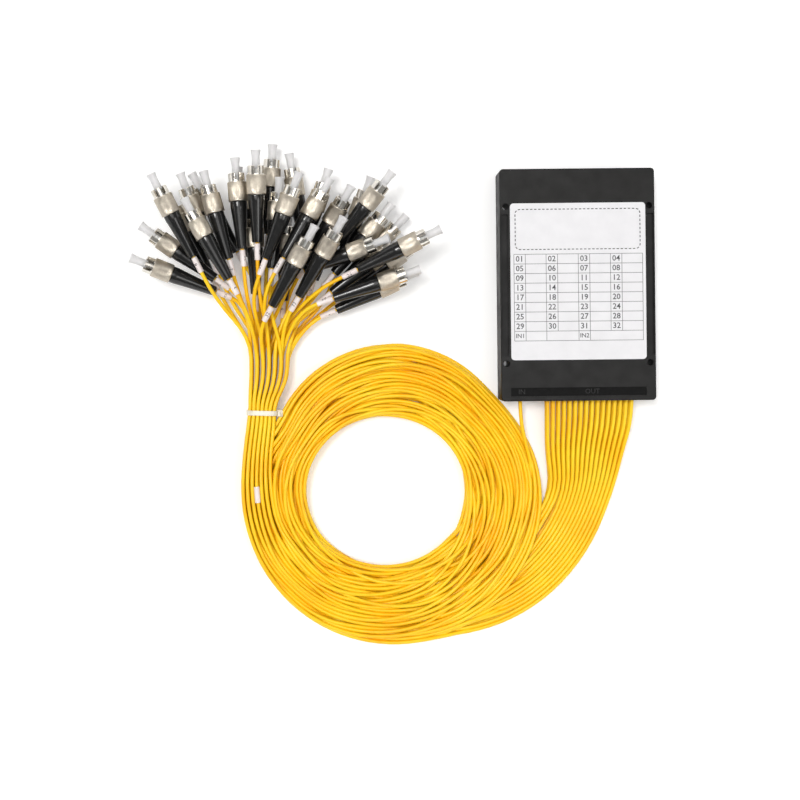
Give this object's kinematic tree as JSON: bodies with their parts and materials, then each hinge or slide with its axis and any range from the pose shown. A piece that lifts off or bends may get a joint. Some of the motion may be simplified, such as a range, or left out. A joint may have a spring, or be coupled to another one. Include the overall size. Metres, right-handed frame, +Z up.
{
  "type": "plc fibre splitter",
  "caption": "Flat plastic cassette that splits one optical fibre, with a wound and tied bundle of yellow cords, each ending in a knurled-nut connector with a boot and a dust cap.",
  "frame": {"origin": "under the middle of the cassette, on the surface that it lies on", "axes": "+Z up out of the label face, +Y along the cassette away from the cord outlet, +X across it, with the input cord on the -X side of the outlet"},
  "size_m": [0.2716, 0.2616, 0.0353],
  "materials": {
    "case_plastic": "moulded, fine texture",
    "label_paper": "white film",
    "comb_plastic": "moulded",
    "module_steel": "drawn tube",
    "seal_rubber": "soft silicone",
    "chip_glass": "polished silica",
    "block_glass": "ground glass",
    "buffer_plastic": "buffer tube",
    "ribbon_plastic": "coated fibres",
    "fanout_plastic": "moulded",
    "cord_jacket": "extruded jacket",
    "tie_plastic": "nylon",
    "marker_plastic": "printed sleeve",
    "frame_nickel": "nickel plated, satin",
    "nut_nickel": "nickel plated, knurled",
    "ferrule_ceramic": "polished zirconia",
    "boot_plastic": "smooth flexible boot",
    "cap_plastic": "translucent soft cap"
  },
  "bodies": {
    "splitter": {"base_tray": "case_plastic", "boots": "boot_plastic", "cable_tie": "tie_plastic", "connector_frames": "frame_nickel", "cord_coil": "cord_jacket", "cord_comb": "comb_plastic", "dust_caps": "cap_plastic", "fan_cords": "cord_jacket", "fanout_blocks": "fanout_plastic", "fanout_tubes": "buffer_plastic", "ferrules": "ferrule_ceramic", "fibre_ribbons": "ribbon_plastic", "input_cord": "cord_jacket", "input_fibre": "buffer_plastic", "input_fibre_block": "block_glass", "label_sheet": "label_paper", "module_plugs": "seal_rubber", "module_tube": "module_steel", "number_markers": "marker_plastic", "output_cords": "cord_jacket", "output_fibre_block": "block_glass", "tied_run": "cord_jacket", "top_cover": "case_plastic", "waveguide_chip": "chip_glass"},
    "coupling_nut_01": {"coupling_nut_01": "nut_nickel"},
    "coupling_nut_02": {"coupling_nut_02": "nut_nickel"},
    "coupling_nut_03": {"coupling_nut_03": "nut_nickel"},
    "coupling_nut_04": {"coupling_nut_04": "nut_nickel"},
    "coupling_nut_05": {"coupling_nut_05": "nut_nickel"},
    "coupling_nut_06": {"coupling_nut_06": "nut_nickel"},
    "coupling_nut_07": {"coupling_nut_07": "nut_nickel"},
    "coupling_nut_08": {"coupling_nut_08": "nut_nickel"},
    "coupling_nut_09": {"coupling_nut_09": "nut_nickel"},
    "coupling_nut_10": {"coupling_nut_10": "nut_nickel"},
    "coupling_nut_11": {"coupling_nut_11": "nut_nickel"},
    "coupling_nut_12": {"coupling_nut_12": "nut_nickel"},
    "coupling_nut_13": {"coupling_nut_13": "nut_nickel"},
    "coupling_nut_14": {"coupling_nut_14": "nut_nickel"},
    "coupling_nut_15": {"coupling_nut_15": "nut_nickel"},
    "coupling_nut_16": {"coupling_nut_16": "nut_nickel"},
    "coupling_nut_17": {"coupling_nut_17": "nut_nickel"},
    "coupling_nut_18": {"coupling_nut_18": "nut_nickel"},
    "coupling_nut_19": {"coupling_nut_19": "nut_nickel"},
    "coupling_nut_20": {"coupling_nut_20": "nut_nickel"},
    "coupling_nut_21": {"coupling_nut_21": "nut_nickel"},
    "coupling_nut_22": {"coupling_nut_22": "nut_nickel"},
    "coupling_nut_23": {"coupling_nut_23": "nut_nickel"},
    "coupling_nut_24": {"coupling_nut_24": "nut_nickel"},
    "coupling_nut_25": {"coupling_nut_25": "nut_nickel"},
    "coupling_nut_26": {"coupling_nut_26": "nut_nickel"},
    "coupling_nut_27": {"coupling_nut_27": "nut_nickel"},
    "coupling_nut_28": {"coupling_nut_28": "nut_nickel"},
    "coupling_nut_29": {"coupling_nut_29": "nut_nickel"},
    "coupling_nut_30": {"coupling_nut_30": "nut_nickel"},
    "coupling_nut_31": {"coupling_nut_31": "nut_nickel"},
    "coupling_nut_32": {"coupling_nut_32": "nut_nickel"},
    "coupling_nut_33": {"coupling_nut_33": "nut_nickel"}
  },
  "joints": [
    {"name": "coupling_nut_01_spin", "type": "hinge", "parent": "splitter", "child": "coupling_nut_01", "pos_m": [-0.2101, 0.0078, 0.0153], "axis": [-0.9052, 0.3657, 0.2164], "continuous": true},
    {"name": "coupling_nut_02_spin", "type": "hinge", "parent": "splitter", "child": "coupling_nut_02", "pos_m": [-0.1888, 0.0412, 0.0062], "axis": [-0.4902, 0.8663, 0.0958], "continuous": true},
    {"name": "coupling_nut_03_spin", "type": "hinge", "parent": "splitter", "child": "coupling_nut_03", "pos_m": [-0.2024, 0.03, 0.0052], "axis": [-0.4536, 0.8902, 0.0436], "continuous": true},
    {"name": "coupling_nut_04_spin", "type": "hinge", "parent": "splitter", "child": "coupling_nut_04", "pos_m": [-0.1587, 0.0531, 0.007], "axis": [0.061, 0.998, 0.0175], "continuous": true},
    {"name": "coupling_nut_05_spin", "type": "hinge", "parent": "splitter", "child": "coupling_nut_05", "pos_m": [-0.1453, 0.0486, 0.0058], "axis": [-0.1558, 0.9839, 0.0872], "continuous": true},
    {"name": "coupling_nut_06_spin", "type": "hinge", "parent": "splitter", "child": "coupling_nut_06", "pos_m": [-0.1355, 0.0404, 0.0127], "axis": [0.3338, 0.9426, 0.0087], "continuous": true},
    {"name": "coupling_nut_07_spin", "type": "hinge", "parent": "splitter", "child": "coupling_nut_07", "pos_m": [-0.1281, 0.0276, 0.0052], "axis": [0.342, 0.9397, 0], "continuous": true},
    {"name": "coupling_nut_08_spin", "type": "hinge", "parent": "splitter", "child": "coupling_nut_08", "pos_m": [-0.1139, 0.0368, 0.0078], "axis": [0.3557, 0.9266, 0.1219], "continuous": true},
    {"name": "coupling_nut_09_spin", "type": "hinge", "parent": "splitter", "child": "coupling_nut_09", "pos_m": [-0.0981, 0.0122, 0.0055], "axis": [0.8116, 0.5789, 0.0785], "continuous": true},
    {"name": "coupling_nut_10_spin", "type": "hinge", "parent": "splitter", "child": "coupling_nut_10", "pos_m": [-0.1034, 0.0217, 0.006], "axis": [0.7067, 0.7067, 0.0349], "continuous": true},
    {"name": "coupling_nut_11_spin", "type": "hinge", "parent": "splitter", "child": "coupling_nut_11", "pos_m": [-0.1098, 0.0261, 0.0125], "axis": [0.6493, 0.7603, 0.0175], "continuous": true},
    {"name": "coupling_nut_12_spin", "type": "hinge", "parent": "splitter", "child": "coupling_nut_12", "pos_m": [-0.1727, 0.0414, 0.0066], "axis": [-0.1303, 0.9896, 0.061], "continuous": true},
    {"name": "coupling_nut_13_spin", "type": "hinge", "parent": "splitter", "child": "coupling_nut_13", "pos_m": [-0.1074, 0.0119, 0.0161], "axis": [0.7986, 0.6018, 0], "continuous": true},
    {"name": "coupling_nut_14_spin", "type": "hinge", "parent": "splitter", "child": "coupling_nut_14", "pos_m": [-0.1668, 0.0215, 0.013], "axis": [0, 0.9962, 0.0872], "continuous": true},
    {"name": "coupling_nut_15_spin", "type": "hinge", "parent": "splitter", "child": "coupling_nut_15", "pos_m": [-0.1972, 0.039, 0.0133], "axis": [-0.3368, 0.9254, 0.1736], "continuous": true},
    {"name": "coupling_nut_16_spin", "type": "hinge", "parent": "splitter", "child": "coupling_nut_16", "pos_m": [-0.1509, 0.018, 0.0087], "axis": [0.0697, 0.9962, 0.0523], "continuous": true},
    {"name": "coupling_nut_17_spin", "type": "hinge", "parent": "splitter", "child": "coupling_nut_17", "pos_m": [-0.1026, -0.0012, 0.0079], "axis": [0.9096, 0.4146, 0.0262], "continuous": true},
    {"name": "coupling_nut_18_spin", "type": "hinge", "parent": "splitter", "child": "coupling_nut_18", "pos_m": [-0.2085, 0.0381, 0.0248], "axis": [-0.4336, 0.8889, 0.1478], "continuous": true},
    {"name": "coupling_nut_19_spin", "type": "hinge", "parent": "splitter", "child": "coupling_nut_19", "pos_m": [-0.2075, 0.0198, 0.0142], "axis": [-0.8059, 0.5855, 0.0872], "continuous": true},
    {"name": "coupling_nut_20_spin", "type": "hinge", "parent": "splitter", "child": "coupling_nut_20", "pos_m": [-0.1745, 0.0444, 0.0201], "axis": [-0.0698, 0.9976, 0], "continuous": true},
    {"name": "coupling_nut_21_spin", "type": "hinge", "parent": "splitter", "child": "coupling_nut_21", "pos_m": [-0.1554, 0.0345, 0.0176], "axis": [0.0958, 0.9954, 0], "continuous": true},
    {"name": "coupling_nut_22_spin", "type": "hinge", "parent": "splitter", "child": "coupling_nut_22", "pos_m": [-0.1387, 0.0361, 0.023], "axis": [0.515, 0.8571, 0.0087], "continuous": true},
    {"name": "coupling_nut_23_spin", "type": "hinge", "parent": "splitter", "child": "coupling_nut_23", "pos_m": [-0.1092, 0.0413, 0.0201], "axis": [0.6244, 0.7574, 0.1908], "continuous": true},
    {"name": "coupling_nut_24_spin", "type": "hinge", "parent": "splitter", "child": "coupling_nut_24", "pos_m": [-0.1181, 0.017, 0.0211], "axis": [0.9253, 0.3277, 0.1908], "continuous": true},
    {"name": "coupling_nut_25_spin", "type": "hinge", "parent": "splitter", "child": "coupling_nut_25", "pos_m": [-0.0913, 0.0189, 0.0268], "axis": [0.8986, 0.419, 0.1305], "continuous": true},
    {"name": "coupling_nut_26_spin", "type": "hinge", "parent": "splitter", "child": "coupling_nut_26", "pos_m": [-0.1027, 0.0017, 0.0205], "axis": [0.951, 0.309, 0.0087], "continuous": true},
    {"name": "coupling_nut_27_spin", "type": "hinge", "parent": "splitter", "child": "coupling_nut_27", "pos_m": [-0.1863, 0.0385, 0.0201], "axis": [-0.2672, 0.9636, 0], "continuous": true},
    {"name": "coupling_nut_28_spin", "type": "hinge", "parent": "splitter", "child": "coupling_nut_28", "pos_m": [-0.1649, 0.0475, 0.0247], "axis": [0, 0.9936, 0.1132], "continuous": true},
    {"name": "coupling_nut_29_spin", "type": "hinge", "parent": "splitter", "child": "coupling_nut_29", "pos_m": [-0.1511, 0.0372, 0.0271], "axis": [0.379, 0.9149, 0.1392], "continuous": true},
    {"name": "coupling_nut_30_spin", "type": "hinge", "parent": "splitter", "child": "coupling_nut_30", "pos_m": [-0.1277, 0.0331, 0.0155], "axis": [0.5119, 0.8192, 0.2588], "continuous": true},
    {"name": "coupling_nut_31_spin", "type": "hinge", "parent": "splitter", "child": "coupling_nut_31", "pos_m": [-0.191, 0.0258, 0.0261], "axis": [-0.4771, 0.8788, 0.0087], "continuous": true},
    {"name": "coupling_nut_32_spin", "type": "hinge", "parent": "splitter", "child": "coupling_nut_32", "pos_m": [-0.1457, 0.0114, 0.0272], "axis": [0.4825, 0.8529, 0.1994], "continuous": true},
    {"name": "coupling_nut_33_spin", "type": "hinge", "parent": "splitter", "child": "coupling_nut_33", "pos_m": [-0.1315, 0.0158, 0.027], "axis": [0.4975, 0.828, 0.2588], "continuous": true}
  ]
}
